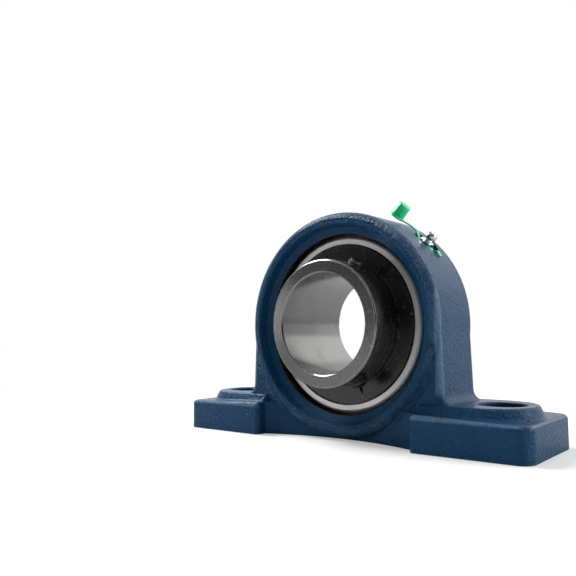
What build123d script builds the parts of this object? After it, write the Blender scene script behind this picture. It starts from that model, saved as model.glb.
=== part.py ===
from build123d import *
from math import asin, atan2, cos, degrees, radians, sin, sqrt
import os

# Pillow block bearing for a 55 mm shaft: a cast block with two slotted feet, and a
# self-aligning ball bearing insert held in its spherical seat.
# Millimetres. +X runs along the feet, +Y along the shaft, +Z up. The set screws are on
# the -Y side. The origin is on the underside of the base, below the shaft's centre.

# ---------------------------------------------------------------- driving dimensions

SHAFT_D = 55.0
SHAFT_HEIGHT = 63.5

# cast block
BASE_LENGTH = 219.0
BASE_WIDTH = 60.0
BOLT_SPACING = 171.0
SLOT_WIDTH = 20.0
SLOT_LENGTH = 24.0
SLOT_EDGE_R = 1.2
FOOT_INNER_X = 49.5
FOOT_TOP_INNER = 18.6
FOOT_TOP_OUTER = 16.8
FOOT_CORNER_R = 7.0
FOOT_INNER_R = 3.0
FOOT_EDGE_R = 2.2
PAD_TOP = 22.6
PAD_ROOT = 15.0
PAD_WIDTH = 51.0
PAD_OUTER_X = 106.5
PAD_TAPER = 25.0
PAD_EDGE_R = 1.6
PAD_ROOT_R = 2.0
WEB_MIDDLE_WIDTH = 28.6
WEB_END_WIDTH = 49.0
WEB_END_X = 51.0
WEB_HEIGHT = 18.4
BODY_TOP_HALF_WIDTH = 62.0
BODY_TOP_DEPTH = 38.0
BODY_DRAFT = 2.0
BODY_CORNER_R = 4.0
BODY_FLARE_R = 6.0
FLARE_STEPS = 4
FLARE_START = 12.0
FLARE_SINK = 0.2
BARREL_R = 62.2
BARREL_DEPTH = 43.4
BARREL_EDGE_R = 5.0
MOUTH_R = 55.6
MOUTH_EDGE_R = 1.2
MOUTH_FLOOR_R = 54.2
MOUTH_FLOOR_Y = 16.6
SEAT_RELIEF_R = 50.5
SEAT_RELIEF_Y = 14.3
SEAT_HALF_WIDTH = 9.5

SEAL_SEAT_Y = 8.4
SEAL_OUTER_Y = 10.1
SEAL_CASE_T = 0.7
SEAL_RIM_T = 0.9
SEAL_LIP_OUTER_R = 38.0
SEAL_LIP_INNER_Y = 8.7
SEAL_LIP_FIT = 0.05

SLINGER_T = 0.8
SLINGER_HUB_Y = 10.4
SLINGER_DISC_Y = 11.2
SLINGER_LIP_R = 36.3
SLINGER_OUTER_R = 44.0
NOTCH_COUNT = 4
NOTCH_ANGLE = 17.0
NOTCH_MOUTH_R = 35.2
NOTCH_APEX_R = 42.4
NOTCH_HALF_WIDTH = 1.4

POCKET_R = 7.45
CAGE_THICKNESS = 0.9
CAGE_INNER_R = 36.4
CAGE_OUTER_R = 41.1
CAGE_HALF_DEPTH = 8.1
RIVET_D = 2.2
RIVET_HEAD_D = 4.0
RIVET_HEAD_HEIGHT = 0.8
RIVET_HEAD_TAPER = 20.0

PIN_ANGLE = -90.0
PIN_D = 3.5
PIN_FIT = 0.05
PIN_INNER_R = 47.25
PIN_OUTER_R = 51.3
PIN_CHAMFER = 0.3
LUBE_HOLE_Y = 6.9
LUBE_HOLE_ANGLES = (135.0, 315.0)

LOADING_SLOT_DEPTH = 24.0
LOADING_CLEARANCE = 0.35
PIN_SLOT_WIDTH = 4.2
PIN_SLOT_FRONT = -4.2
PIN_SLOT_R = 51.7

# bearing insert
INSERT_D = 100.0
OUTER_RING_WIDTH = 24.0
SEAT_CLEARANCE = 0.03
INNER_RING_FRONT = 33.4
INNER_RING_REAR = 22.2
INNER_RING_OD = 69.3
BALL_COUNT = 10
BALL_D = 14.288
PITCH_D = 77.5
BALL_CLEARANCE = 0.02
GROOVE_CONFORMITY = 1.04
OUTER_SHOULDER_R = 43.6
OUTER_RING_BORE_R = 45.1
RING_CHAMFER = 0.7
LUBE_GROOVE_Y = 6.4
LUBE_GROOVE_WIDTH = 3.0
LUBE_GROOVE_DEPTH = 0.8
LUBE_HOLE_D = 2.2

# set screws, M10 x 10 with a cup point
SET_SCREW_D = 10.0
SET_SCREW_LENGTH = 10.0
SET_SCREW_HEX = 5.0
SET_SCREW_FACE_DISTANCE = 9.0
SET_SCREW_ANGLES = (61.0, -59.0)
SET_SCREW_BACK_OFF = 0.5
SET_SCREW_MOUTH_R = 5.9
SET_SCREW_CHAMFER = 1.0
SET_SCREW_CUP_R = 2.6
SET_SCREW_CUP_TAPER = 45.0
THREAD_CLEARANCE = 0.06

# grease nipple, M6 with a 7 mm hexagon, and its cap
NIPPLE_ANGLE = 45.0
NIPPLE_Y = 5.0
NIPPLE_SEAT_R = 59.9
NIPPLE_SPOT_FACE_D = 16.0
NIPPLE_THREAD_D = 6.0
NIPPLE_THREAD_DEPTH = 5.6
GREASE_PASSAGE_D = 4.5
NIPPLE_HEX = 7.0
NIPPLE_HEAD_D = 6.5
NIPPLE_SHANK_R = 2.95
NIPPLE_CHAMFER = 0.4
NIPPLE_TAIL_R = 54.6
NIPPLE_HEX_HEIGHT = 2.3
NIPPLE_NECK_R = 2.3
NIPPLE_HEAD_CENTRE = 65.9
NIPPLE_TOP = 68.3
NIPPLE_MOUTH_R = 0.8
NIPPLE_CHAMBER_R = 1.25
NIPPLE_CHAMBER_TOP = 67.7
NIPPLE_LEDGE_R = 61.5
CHECK_BALL_R = 1.1
CHECK_BALL_GAP = 0.02
SPRING_WIRE_D = 0.3
SPRING_COIL_R = 0.95
SPRING_TURNS = 4

STRAP_WIDTH = 2.4
STRAP_THICKNESS = 0.8
STRAP_RING_OUTER_R = 5.5
STRAP_RING_INNER_R = 3.05
TAIL_CLIMB_S = 6.4
TAIL_CLIMB_R = 60.95
TAIL_CREST_S = 8.6
TAIL_CREST_R = 62.5
TAIL_END_S = 11.5
TAIL_END_R = 61.7
STRAP_START_S = 7.0
STRAP_START_R = 61.4
STRAP_CREST_S = 9.2
STRAP_CREST_R = 62.6
STRAP_MIDDLE_S = 14.5
STRAP_MIDDLE_R = 62.3
CAP_S = 24.9
CAP_MOUTH_R = 60.3
CAP_HEIGHT = 8.4
CAP_FLANGE_D = 8.8
CAP_FLANGE_HEIGHT = 1.2
CAP_FLANGE_STEP = 0.3
CAP_END_D = 7.6
CAP_END_CHAMFER = 0.5
CAP_CAVITY_R = 3.3
CAP_CAVITY_DEPTH = 6.8

# ---------------------------------------------------------------- planes and axes

shaft_centre = Vector(0, 0, SHAFT_HEIGHT)
shaft_axis = Axis((0, 0, SHAFT_HEIGHT), (0, 1, 0))

# profiles of turned pieces: local x is the distance along the shaft (+Y), local y the radius
turning_plane = Plane(origin=(0, 0, SHAFT_HEIGHT), x_dir=(0, 1, 0), z_dir=(1, 0, 0))

# face-on views of the bearing: local x is +X, local y is +Z, extrusions run towards -Y
face_plane = Plane(origin=(0, 0, SHAFT_HEIGHT), x_dir=(1, 0, 0), z_dir=(0, -1, 0))


def radial(angle):
    """Unit vector that leaves the shaft's axis at this angle above +X."""
    return Vector(cos(radians(angle)), 0, sin(radians(angle)))


def drilling_plane(angle, y, radius):
    """Plane square to a radius of the bearing, with its normal pointing outwards."""
    return Plane(
        origin=shaft_centre + radial(angle) * radius + Vector(0, y, 0),
        x_dir=(0, 1, 0),
        z_dir=radial(angle),
    )


def finish(piece, label):
    """Label a finished piece and write its STEP file."""
    piece.part.label = label
    export_step(piece.part, "parts/" + label + ".step")
    print(label, "volume %.1f mm3" % piece.part.volume)


os.makedirs("parts", exist_ok=True)

# ---------------------------------------------------------------- housing

foot_length = BASE_LENGTH / 2 - FOOT_INNER_X
foot_slope = degrees(atan2(FOOT_TOP_INNER - FOOT_TOP_OUTER, foot_length))
foot_top = Plane(origin=(FOOT_INNER_X, 0, FOOT_TOP_INNER)).rotated((0, foot_slope, 0))
pad_arc_x = PAD_OUTER_X - PAD_WIDTH / 2
pad_slope = sin(radians(PAD_TAPER))
draft_rate = sin(radians(BODY_DRAFT)) / cos(radians(BODY_DRAFT))
body_foot_z = PAD_TOP - FLARE_SINK + BODY_FLARE_R * cos(radians(FLARE_START))
body_half_width = BODY_TOP_HALF_WIDTH + (SHAFT_HEIGHT - body_foot_z) * draft_rate
body_half_depth = BODY_TOP_DEPTH / 2 + (SHAFT_HEIGHT - body_foot_z) * draft_rate
seat_r = INSERT_D / 2 + SEAT_CLEARANCE / 2
seat_edge_r = sqrt(seat_r**2 - SEAT_HALF_WIDTH**2)

with BuildPart() as housing:
    # right foot, made too long inwards and trimmed later: its top slopes down outwards
    with BuildSketch(Plane.XY):
        with Locations((BASE_LENGTH / 4, 0)):
            Rectangle(BASE_LENGTH / 2, BASE_WIDTH)
        fillet(vertices().group_by(Axis.X)[-1], FOOT_CORNER_R)
    extrude(amount=PAD_TOP)
    split(bisect_by=foot_top, keep=Keep.BOTTOM)
    fillet(faces().sort_by(Axis.Z)[-1].edges(), FOOT_EDGE_R)

    # raised pad round the bolt slot, with sloping sides blended into the foot
    with BuildSketch(Plane.XY.offset(PAD_ROOT)):
        with Locations((pad_arc_x, 0)):
            Circle(PAD_WIDTH / 2)
        with Locations((pad_arc_x * 3 / 4, 0)):
            Rectangle(pad_arc_x / 2, PAD_WIDTH)
    extrude(amount=PAD_TOP - PAD_ROOT, taper=PAD_TAPER)
    pad_sides = faces().filter_by(lambda face: abs(face.normal_at().Z - pad_slope) < 0.01)
    fillet([side.edges().sort_by(Axis.Z)[0] for side in pad_sides], PAD_ROOT_R)
    pad_sides = faces().filter_by(lambda face: abs(face.normal_at().Z - pad_slope) < 0.01)
    fillet([side.edges().sort_by(Axis.Z)[-1] for side in pad_sides], PAD_EDGE_R)
    split(bisect_by=Plane.YZ.offset(FOOT_INNER_X), keep=Keep.TOP)
    fillet(edges().filter_by(Axis.Z).group_by(Axis.X)[0], FOOT_INNER_R)

    # bolt slot with a rounded mouth
    with BuildSketch(Plane.XY):
        with Locations((BOLT_SPACING / 2, 0)):
            SlotOverall(SLOT_LENGTH, SLOT_WIDTH)
    extrude(amount=PAD_TOP, mode=Mode.SUBTRACT)
    fillet(faces().sort_by(Axis.Z)[-1].inner_wires()[0].edges(), SLOT_EDGE_R)
    mirror(about=Plane.YZ)

    # waisted web between the feet
    with BuildSketch(Plane.XY):
        with BuildLine():
            ThreePointArc(
                (-WEB_END_X, -WEB_END_WIDTH / 2),
                (0, -WEB_MIDDLE_WIDTH / 2),
                (WEB_END_X, -WEB_END_WIDTH / 2),
            )
            Line((WEB_END_X, -WEB_END_WIDTH / 2), (WEB_END_X, WEB_END_WIDTH / 2))
            ThreePointArc(
                (WEB_END_X, WEB_END_WIDTH / 2),
                (0, WEB_MIDDLE_WIDTH / 2),
                (-WEB_END_X, WEB_END_WIDTH / 2),
            )
            Line((-WEB_END_X, WEB_END_WIDTH / 2), (-WEB_END_X, -WEB_END_WIDTH / 2))
        make_face()
    extrude(amount=WEB_HEIGHT)

    # lower body: sections that flare sideways like a fillet onto the pads, a core that closes
    # the gap under the barrel, then a drafted block
    for step in range(FLARE_STEPS + 1):
        turn = radians(FLARE_START + (90 - FLARE_START) * step / FLARE_STEPS)
        spread = BODY_FLARE_R * (1 - sin(turn))
        with BuildSketch(Plane.XY.offset(body_foot_z - BODY_FLARE_R * cos(turn))):
            Rectangle(2 * (body_half_width + spread), 2 * body_half_depth)
            fillet(vertices(), BODY_CORNER_R)
    loft()
    with BuildSketch(Plane.XY.offset(PAD_ROOT)):
        Rectangle(2 * (FOOT_INNER_X + FOOT_INNER_R), 2 * body_half_depth)
    extrude(amount=body_foot_z - PAD_ROOT)
    with BuildSketch(Plane.XY.offset(body_foot_z)):
        Rectangle(2 * body_half_width, 2 * body_half_depth)
        fillet(vertices(), BODY_CORNER_R)
    extrude(amount=SHAFT_HEIGHT - body_foot_z, taper=BODY_DRAFT)

    # round barrel, with rolled edges
    with BuildSketch(turning_plane):
        with Locations((0, BARREL_R / 2)):
            Rectangle(BARREL_DEPTH, BARREL_R)
        fillet(vertices().group_by(Axis.Y)[-1], BARREL_EDGE_R)
    revolve(axis=shaft_axis)

    # mouth at each end, and the machined spherical seat between them
    with BuildSketch(turning_plane):
        with BuildLine():
            front_rim = Polyline(
                (-SEAT_HALF_WIDTH, seat_edge_r),
                (-SEAT_HALF_WIDTH, SEAT_RELIEF_R),
                (-SEAT_RELIEF_Y, SEAT_RELIEF_R),
                (-MOUTH_FLOOR_Y, MOUTH_FLOOR_R),
                (-BARREL_DEPTH / 2, MOUTH_R),
                (-BARREL_DEPTH / 2, 0),
            )
            mirror(front_rim, about=Plane.YZ)
            Line((-BARREL_DEPTH / 2, 0), (BARREL_DEPTH / 2, 0))
            ThreePointArc(
                (-SEAT_HALF_WIDTH, seat_edge_r), (0, seat_r), (SEAT_HALF_WIDTH, seat_edge_r)
            )
        make_face()
    revolve(axis=shaft_axis, mode=Mode.SUBTRACT)
    mouth_edges = edges().filter_by(GeomType.CIRCLE).filter_by(
        lambda edge: abs(edge.radius - MOUTH_R) < 0.01
    )
    fillet(mouth_edges, MOUTH_EDGE_R)

    # loading slots, through which the bearing is put in edge-on from the rear and then turned
    with BuildSketch(Plane.YZ):
        with Locations((LOADING_SLOT_DEPTH / 2, SHAFT_HEIGHT)):
            Rectangle(LOADING_SLOT_DEPTH, OUTER_RING_WIDTH + 2 * LOADING_CLEARANCE)
    extrude(amount=INSERT_D / 2 + LOADING_CLEARANCE, both=True, mode=Mode.SUBTRACT)

    # groove that keeps the anti-rotation pin from turning
    with BuildSketch(Plane.XY.offset(SHAFT_HEIGHT - PIN_SLOT_R)):
        with Locations((0, PIN_SLOT_FRONT + LOADING_SLOT_DEPTH / 2)):
            Rectangle(PIN_SLOT_WIDTH, LOADING_SLOT_DEPTH)
    extrude(amount=PIN_SLOT_R / 2, mode=Mode.SUBTRACT)

    # grease passage: spot face, tapped hole and drilling down to the seat
    with BuildSketch(drilling_plane(NIPPLE_ANGLE, NIPPLE_Y, NIPPLE_SEAT_R)):
        Circle(NIPPLE_SPOT_FACE_D / 2)
    extrude(amount=BARREL_R / 4, mode=Mode.SUBTRACT)
    with BuildSketch(drilling_plane(NIPPLE_ANGLE, NIPPLE_Y, NIPPLE_SEAT_R)):
        Circle(NIPPLE_THREAD_D / 2)
    extrude(amount=-NIPPLE_THREAD_DEPTH, mode=Mode.SUBTRACT)
    with BuildSketch(drilling_plane(NIPPLE_ANGLE, NIPPLE_Y, NIPPLE_SEAT_R)):
        Circle(GREASE_PASSAGE_D / 2)
    extrude(amount=-MOUTH_R / 4, mode=Mode.SUBTRACT)

finish(housing, "housing")

# ---------------------------------------------------------------- outer ring

groove_r = BALL_D / 2 * GROOVE_CONFORMITY
outer_groove_centre = PITCH_D / 2 + BALL_D / 2 + BALL_CLEARANCE - groove_r
outer_ring_r = INSERT_D / 2 - SEAT_CLEARANCE / 2

with BuildPart() as outer_ring:
    with BuildSketch(turning_plane):
        Circle(outer_ring_r)
        with Locations((0, (OUTER_SHOULDER_R + INSERT_D / 2) / 2)):
            Rectangle(
                OUTER_RING_WIDTH, INSERT_D / 2 - OUTER_SHOULDER_R, mode=Mode.INTERSECT
            )
        ring_corners = vertices().group_by(Axis.Y)[1]
        chamfer(ring_corners, RING_CHAMFER)
        for side in (-1, 1):
            with Locations((side * (SEAL_SEAT_Y + OUTER_RING_WIDTH / 2) / 2, OUTER_SHOULDER_R)):
                Rectangle(
                    OUTER_RING_WIDTH / 2 - SEAL_SEAT_Y,
                    2 * (OUTER_RING_BORE_R - OUTER_SHOULDER_R),
                    mode=Mode.SUBTRACT,
                )
        with Locations((0, outer_groove_centre)):
            Circle(groove_r, mode=Mode.SUBTRACT)
        with Locations((LUBE_GROOVE_Y, outer_ring_r)):
            Rectangle(LUBE_GROOVE_WIDTH, 2 * LUBE_GROOVE_DEPTH, mode=Mode.SUBTRACT)
    revolve(axis=shaft_axis)

    # grease holes from the groove to the balls, and the blind hole for the pin
    for angle in LUBE_HOLE_ANGLES:
        with BuildSketch(drilling_plane(angle, LUBE_HOLE_Y, outer_groove_centre)):
            Circle(LUBE_HOLE_D / 2)
        extrude(amount=INSERT_D / 4, mode=Mode.SUBTRACT)
    with BuildSketch(drilling_plane(PIN_ANGLE, 0, PIN_INNER_R - PIN_FIT)):
        Circle(PIN_D / 2 + PIN_FIT)
    extrude(amount=INSERT_D / 4, mode=Mode.SUBTRACT)

finish(outer_ring, "outer_ring")

with BuildPart() as anti_rotation_pin:
    with BuildSketch(drilling_plane(PIN_ANGLE, 0, PIN_INNER_R)):
        Circle(PIN_D / 2)
    extrude(amount=PIN_OUTER_R - PIN_INNER_R)
    chamfer(edges().filter_by(GeomType.CIRCLE), PIN_CHAMFER)

finish(anti_rotation_pin, "anti_rotation_pin")

# ---------------------------------------------------------------- inner ring and set screws

inner_groove_centre = PITCH_D / 2 - BALL_D / 2 - BALL_CLEARANCE + groove_r
inner_ring_r = INNER_RING_OD / 2
set_screw_y = -INNER_RING_FRONT + SET_SCREW_FACE_DISTANCE
set_screw_inner_r = SHAFT_D / 2 + SET_SCREW_BACK_OFF

with BuildPart() as inner_ring:
    with BuildSketch(turning_plane):
        with Locations(
            ((INNER_RING_REAR - INNER_RING_FRONT) / 2, (inner_ring_r + SHAFT_D / 2) / 2)
        ):
            Rectangle(INNER_RING_REAR + INNER_RING_FRONT, inner_ring_r - SHAFT_D / 2)
        chamfer(vertices(), RING_CHAMFER)
        with Locations((0, inner_groove_centre)):
            Circle(groove_r, mode=Mode.SUBTRACT)
    revolve(axis=shaft_axis)

    # tapped holes for the set screws, countersunk where they break out
    for angle in SET_SCREW_ANGLES:
        with Locations(drilling_plane(angle, set_screw_y, inner_ring_r)):
            CounterSinkHole(
                radius=SET_SCREW_D / 2,
                counter_sink_radius=SET_SCREW_MOUTH_R,
                depth=inner_ring_r - SHAFT_D / 4,
            )

finish(inner_ring, "inner_ring")

for number, angle in enumerate(SET_SCREW_ANGLES, start=1):
    screw_r = SET_SCREW_D / 2 - THREAD_CLEARANCE
    with BuildPart() as set_screw:
        with BuildSketch(drilling_plane(angle, set_screw_y, set_screw_inner_r)):
            Circle(screw_r)
        extrude(amount=SET_SCREW_LENGTH)
        chamfer(edges().filter_by(GeomType.CIRCLE), SET_SCREW_CHAMFER)

        # hexagonal socket, and the hollow cup that bites into the shaft
        outer_end = set_screw_inner_r + SET_SCREW_LENGTH
        with BuildSketch(drilling_plane(angle, set_screw_y, outer_end)):
            RegularPolygon(SET_SCREW_HEX / 2, 6, major_radius=False)
        extrude(amount=-SET_SCREW_HEX, mode=Mode.SUBTRACT)
        with BuildSketch(drilling_plane(angle, set_screw_y, set_screw_inner_r)):
            Circle(SET_SCREW_CUP_R)
        extrude(amount=SET_SCREW_CUP_R / 2, taper=SET_SCREW_CUP_TAPER, mode=Mode.SUBTRACT)

    finish(set_screw, "set_screw_%d" % number)

# ---------------------------------------------------------------- balls and cage

ball_pitch = 360 / BALL_COUNT

for number in range(BALL_COUNT):
    with BuildPart() as ball:
        with Locations(shaft_centre + radial(number * ball_pitch) * (PITCH_D / 2)):
            Sphere(BALL_D / 2)

    finish(ball, "ball_%02d" % (number + 1))

# each half of the cage: a flat ring with half a round pocket pressed out for every ball
for side, label in ((-1, "cage_front"), (1, "cage_rear")):
    with BuildPart() as cage_half:
        for number in range(BALL_COUNT):
            with Locations(shaft_centre + radial(number * ball_pitch) * (PITCH_D / 2)):
                Sphere(POCKET_R + CAGE_THICKNESS)
        with BuildSketch(face_plane):
            Circle(CAGE_OUTER_R)
            Circle(CAGE_INNER_R, mode=Mode.SUBTRACT)
        extrude(amount=-side * CAGE_HALF_DEPTH, mode=Mode.INTERSECT)
        with BuildSketch(face_plane):
            Circle(CAGE_OUTER_R)
            Circle(CAGE_INNER_R, mode=Mode.SUBTRACT)
        extrude(amount=-side * CAGE_THICKNESS)
        for number in range(BALL_COUNT):
            with Locations(shaft_centre + radial(number * ball_pitch) * (PITCH_D / 2)):
                Sphere(POCKET_R, mode=Mode.SUBTRACT)

        # rivet holes between the pockets
        with BuildSketch(face_plane):
            with PolarLocations(PITCH_D / 2, BALL_COUNT, start_angle=ball_pitch / 2):
                Circle(RIVET_D / 2)
        extrude(amount=-side * CAGE_THICKNESS, mode=Mode.SUBTRACT)

    finish(cage_half, label)

with BuildPart() as cage_rivets:
    with BuildSketch(face_plane):
        with PolarLocations(PITCH_D / 2, BALL_COUNT, start_angle=ball_pitch / 2):
            Circle(RIVET_D / 2)
    extrude(amount=CAGE_THICKNESS, both=True)
    for side in (-1, 1):
        with BuildSketch(face_plane.offset(side * CAGE_THICKNESS)):
            with PolarLocations(PITCH_D / 2, BALL_COUNT, start_angle=ball_pitch / 2):
                Circle(RIVET_HEAD_D / 2)
        extrude(amount=side * RIVET_HEAD_HEIGHT, taper=RIVET_HEAD_TAPER)

finish(cage_rivets, "cage_rivets")

# ---------------------------------------------------------------- seals and slingers

for side, place in ((-1, "front"), (1, "rear")):
    with BuildPart() as seal_case:
        with BuildSketch(turning_plane):
            with Locations((side * (SEAL_OUTER_Y - SEAL_CASE_T / 2), (SEAL_LIP_OUTER_R + OUTER_RING_BORE_R) / 2)):
                Rectangle(SEAL_CASE_T, OUTER_RING_BORE_R - SEAL_LIP_OUTER_R)
            with Locations((side * (SEAL_OUTER_Y + SEAL_SEAT_Y) / 2, OUTER_RING_BORE_R - SEAL_RIM_T / 2)):
                Rectangle(SEAL_OUTER_Y - SEAL_SEAT_Y, SEAL_RIM_T)
        revolve(axis=shaft_axis)

    finish(seal_case, "seal_case_" + place)

    with BuildPart() as seal_lip:
        with BuildSketch(turning_plane):
            with Locations((side * (SEAL_OUTER_Y + SEAL_LIP_INNER_Y) / 2, (SEAL_LIP_OUTER_R + inner_ring_r + SEAL_LIP_FIT) / 2)):
                Rectangle(SEAL_OUTER_Y - SEAL_LIP_INNER_Y, SEAL_LIP_OUTER_R - inner_ring_r - SEAL_LIP_FIT)
        revolve(axis=shaft_axis)

    finish(seal_lip, "seal_lip_" + place)

    # pressed washer that turns with the inner ring, with four notches through its inner lip
    with BuildPart() as slinger:
        with BuildSketch(turning_plane):
            with BuildLine():
                Polyline(
                    (side * SLINGER_HUB_Y, inner_ring_r),
                    (side * SLINGER_HUB_Y, SLINGER_LIP_R),
                    (side * SLINGER_DISC_Y, SLINGER_LIP_R),
                    (side * SLINGER_DISC_Y, SLINGER_OUTER_R),
                    (side * (SLINGER_DISC_Y + SLINGER_T), SLINGER_OUTER_R),
                    (side * (SLINGER_DISC_Y + SLINGER_T), SLINGER_LIP_R - SLINGER_T),
                    (side * (SLINGER_HUB_Y + SLINGER_T), SLINGER_LIP_R - SLINGER_T),
                    (side * (SLINGER_HUB_Y + SLINGER_T), inner_ring_r),
                    close=True,
                )
            make_face()
        revolve(axis=shaft_axis)
        with BuildSketch(face_plane.offset(-side * SLINGER_HUB_Y)):
            with PolarLocations(0, NOTCH_COUNT, start_angle=NOTCH_ANGLE):
                Polygon(
                    (NOTCH_MOUTH_R, NOTCH_HALF_WIDTH),
                    (NOTCH_APEX_R, 0),
                    (NOTCH_MOUTH_R, -NOTCH_HALF_WIDTH),
                    align=None,
                )
        extrude(amount=-side * INSERT_D / 4, mode=Mode.SUBTRACT)

    finish(slinger, "slinger_" + place)

# ---------------------------------------------------------------- grease nipple

nipple_hex_base = NIPPLE_SEAT_R + STRAP_THICKNESS
nipple_neck_base = nipple_hex_base + NIPPLE_HEX_HEIGHT
check_ball_centre = NIPPLE_CHAMBER_TOP - sqrt(CHECK_BALL_R**2 - NIPPLE_MOUTH_R**2)

head_foot = NIPPLE_HEAD_CENTRE - sqrt((NIPPLE_HEAD_D / 2) ** 2 - NIPPLE_NECK_R**2)
head_flat_r = sqrt((NIPPLE_HEAD_D / 2) ** 2 - (NIPPLE_TOP - NIPPLE_HEAD_CENTRE) ** 2)

# planes through the nipple's axis: local y is the distance from the shaft's axis; local x
# runs along the shaft in the first, and round the barrel, up to its top, in the second
nipple_centre = shaft_centre + Vector(0, NIPPLE_Y, 0)
nipple_plane = Plane(
    origin=nipple_centre, x_dir=(0, 1, 0), z_dir=radial(NIPPLE_ANGLE - 90)
)
strap_plane = Plane(origin=nipple_centre, x_dir=radial(NIPPLE_ANGLE + 90), z_dir=(0, 1, 0))
nipple_axis = Axis(nipple_centre, radial(NIPPLE_ANGLE))

with BuildPart() as grease_nipple:
    with BuildSketch(nipple_plane):
        with BuildLine():
            Polyline(
                (0, NIPPLE_TOP),
                (0, NIPPLE_TAIL_R),
                (NIPPLE_SHANK_R - NIPPLE_CHAMFER, NIPPLE_TAIL_R),
                (NIPPLE_SHANK_R, NIPPLE_TAIL_R + NIPPLE_CHAMFER),
                (NIPPLE_SHANK_R, nipple_neck_base),
                (NIPPLE_NECK_R, nipple_neck_base),
                (NIPPLE_NECK_R, head_foot),
            )
            ThreePointArc(
                (NIPPLE_NECK_R, head_foot),
                (NIPPLE_HEAD_D / 2, NIPPLE_HEAD_CENTRE),
                (head_flat_r, NIPPLE_TOP),
            )
            Line((head_flat_r, NIPPLE_TOP), (0, NIPPLE_TOP))
        make_face()
    revolve(axis=nipple_axis)
    with BuildSketch(drilling_plane(NIPPLE_ANGLE, NIPPLE_Y, nipple_hex_base)):
        RegularPolygon(NIPPLE_HEX / 2, 6, major_radius=False)
    extrude(amount=NIPPLE_HEX_HEIGHT)

    # drilling right through, and the wider chamber that holds the check ball and its spring
    with BuildSketch(drilling_plane(NIPPLE_ANGLE, NIPPLE_Y, NIPPLE_TOP)):
        Circle(NIPPLE_MOUTH_R)
    extrude(amount=NIPPLE_TAIL_R - NIPPLE_TOP, mode=Mode.SUBTRACT)
    with BuildSketch(drilling_plane(NIPPLE_ANGLE, NIPPLE_Y, NIPPLE_CHAMBER_TOP)):
        Circle(NIPPLE_CHAMBER_R)
    extrude(amount=NIPPLE_LEDGE_R - NIPPLE_CHAMBER_TOP, mode=Mode.SUBTRACT)

finish(grease_nipple, "grease_nipple")

with BuildPart() as nipple_ball:
    with Locations(nipple_centre + radial(NIPPLE_ANGLE) * (check_ball_centre - CHECK_BALL_GAP)):
        Sphere(CHECK_BALL_R)

finish(nipple_ball, "nipple_ball")

spring_foot_r = NIPPLE_LEDGE_R + SPRING_WIRE_D / 2
spring_rest = sqrt((CHECK_BALL_R + SPRING_WIRE_D / 2) ** 2 - SPRING_COIL_R**2)
spring_length = check_ball_centre - CHECK_BALL_GAP - spring_rest - spring_foot_r

with BuildPart() as nipple_spring:
    with BuildLine() as coil:
        Helix(
            pitch=spring_length / SPRING_TURNS,
            height=spring_length,
            radius=SPRING_COIL_R,
            center=nipple_centre + radial(NIPPLE_ANGLE) * spring_foot_r,
            direction=radial(NIPPLE_ANGLE),
        )
    with BuildSketch(Plane(origin=coil.line @ 0, z_dir=coil.line % 0)):
        Circle(SPRING_WIRE_D / 2)
    sweep(is_frenet=True)

finish(nipple_spring, "nipple_spring")

# ---------------------------------------------------------------- cap of the nipple

# ring clamped under the nipple's hexagon, with a tail bent over the rim of the spot face
with BuildPart() as cap_ring:
    with BuildSketch(drilling_plane(NIPPLE_ANGLE, NIPPLE_Y, NIPPLE_SEAT_R)):
        Circle(STRAP_RING_OUTER_R)
        Circle(STRAP_RING_INNER_R, mode=Mode.SUBTRACT)
    extrude(amount=STRAP_THICKNESS)
    with BuildLine(strap_plane) as tail_route:
        Spline(
            (STRAP_THICKNESS - STRAP_RING_OUTER_R, NIPPLE_SEAT_R + STRAP_THICKNESS / 2),
            (-TAIL_CLIMB_S, TAIL_CLIMB_R),
            (-TAIL_CREST_S, TAIL_CREST_R),
            (-TAIL_END_S, TAIL_END_R),
        )
    with BuildSketch(Plane(tail_route.line @ 0, x_dir=(0, 1, 0), z_dir=tail_route.line % 0)):
        Rectangle(STRAP_WIDTH, STRAP_THICKNESS)
    sweep()

finish(cap_ring, "cap_ring")

cap_side_r = CAP_FLANGE_D / 2 - CAP_FLANGE_STEP
cap_top_r = CAP_MOUTH_R + CAP_HEIGHT

with BuildPart() as nipple_cap:
    # strap that droops from the rim of the spot face to the cap's flange
    with BuildLine(strap_plane) as strap_route:
        Spline(
            (STRAP_START_S, STRAP_START_R),
            (STRAP_CREST_S, STRAP_CREST_R),
            (STRAP_MIDDLE_S, STRAP_MIDDLE_R),
            (CAP_S - CAP_FLANGE_D / 2 + STRAP_THICKNESS, CAP_MOUTH_R + STRAP_THICKNESS / 2),
        )
    with BuildSketch(Plane(strap_route.line @ 0, x_dir=(0, 1, 0), z_dir=strap_route.line % 0)):
        Rectangle(STRAP_WIDTH, STRAP_THICKNESS)
    sweep()

    # hollow cap, open towards the housing
    with BuildSketch(strap_plane):
        with BuildLine():
            Polyline(
                (CAP_S, CAP_MOUTH_R + CAP_CAVITY_DEPTH),
                (CAP_S + CAP_CAVITY_R, CAP_MOUTH_R + CAP_CAVITY_DEPTH),
                (CAP_S + CAP_CAVITY_R, CAP_MOUTH_R),
                (CAP_S + CAP_FLANGE_D / 2, CAP_MOUTH_R),
                (CAP_S + CAP_FLANGE_D / 2, CAP_MOUTH_R + CAP_FLANGE_HEIGHT),
                (CAP_S + cap_side_r, CAP_MOUTH_R + CAP_FLANGE_HEIGHT),
                (CAP_S + CAP_END_D / 2, cap_top_r - CAP_END_CHAMFER),
                (CAP_S + CAP_END_D / 2 - CAP_END_CHAMFER, cap_top_r),
                (CAP_S, cap_top_r),
                close=True,
            )
        make_face()
    revolve(axis=Axis(strap_plane.from_local_coords((CAP_S, 0, 0)), radial(NIPPLE_ANGLE)))

finish(nipple_cap, "nipple_cap")
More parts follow.
